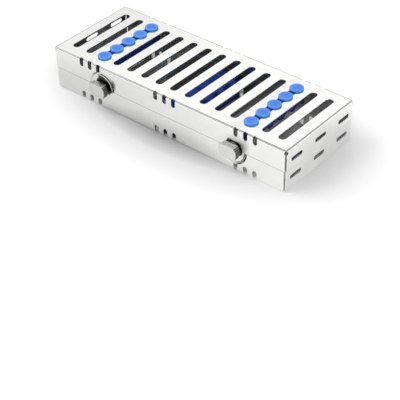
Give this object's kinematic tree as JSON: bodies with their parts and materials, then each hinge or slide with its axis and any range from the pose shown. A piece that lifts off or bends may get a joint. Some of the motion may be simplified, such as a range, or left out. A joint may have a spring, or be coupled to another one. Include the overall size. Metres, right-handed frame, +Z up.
{
  "type": "instrument cassette",
  "caption": "Flat hinged steel case with slotted lid and tray, silicone instrument rails and quarter-turn latches, for sterilising hand instruments.",
  "frame": {"origin": "centre of the footprint, on the surface that the case rests on", "axes": "+X along the case to its right end, +Y from the latches to the hinges, +Z up"},
  "size_m": [0.18, 0.0755, 0.0299],
  "materials": {
    "folded_steel": "bright polished sheet with a fine grain",
    "hinge_steel": "satin sheet",
    "turned_steel": "turned and lightly brushed",
    "spring_steel": "plain rolled spring strip",
    "blue_silicone": "smooth satin silicone"
  },
  "bodies": {
    "tray": {"base_tray": "folded_steel", "tray_cradle": "blue_silicone", "tray_leaf_left": "hinge_steel", "tray_leaf_right": "hinge_steel", "tray_rivets_left": "turned_steel", "tray_rivets_right": "turned_steel", "hinge_pin_left": "turned_steel", "hinge_pin_right": "turned_steel"},
    "lid": {"lid": "folded_steel", "lid_rail_left": "blue_silicone", "lid_rail_right": "blue_silicone", "lid_leaf_left": "hinge_steel", "lid_leaf_right": "hinge_steel", "lid_rivets_left": "turned_steel", "lid_rivets_right": "turned_steel"},
    "left_knob": {"latch_knob_left": "turned_steel", "latch_washer_left": "spring_steel", "latch_clip_left": "spring_steel"},
    "right_knob": {"latch_knob_right": "turned_steel", "latch_washer_right": "spring_steel", "latch_clip_right": "spring_steel"}
  },
  "joints": [
    {"name": "lid_hinge", "type": "hinge", "parent": "tray", "child": "lid", "pos_m": [0, 0.0353, 0.0143], "axis": [-1, 0, 0], "range_deg": [0, 175]},
    {"name": "left_latch_turn", "type": "hinge", "parent": "tray", "child": "left_knob", "pos_m": [-0.0502, -0.0328, 0.0143], "axis": [0, -1, 0], "range_deg": [0, 90]},
    {"name": "right_latch_turn", "type": "hinge", "parent": "lid", "child": "right_knob", "pos_m": [0.0522, -0.0328, 0.0143], "axis": [0, -1, 0], "range_deg": [0, 90]}
  ]
}
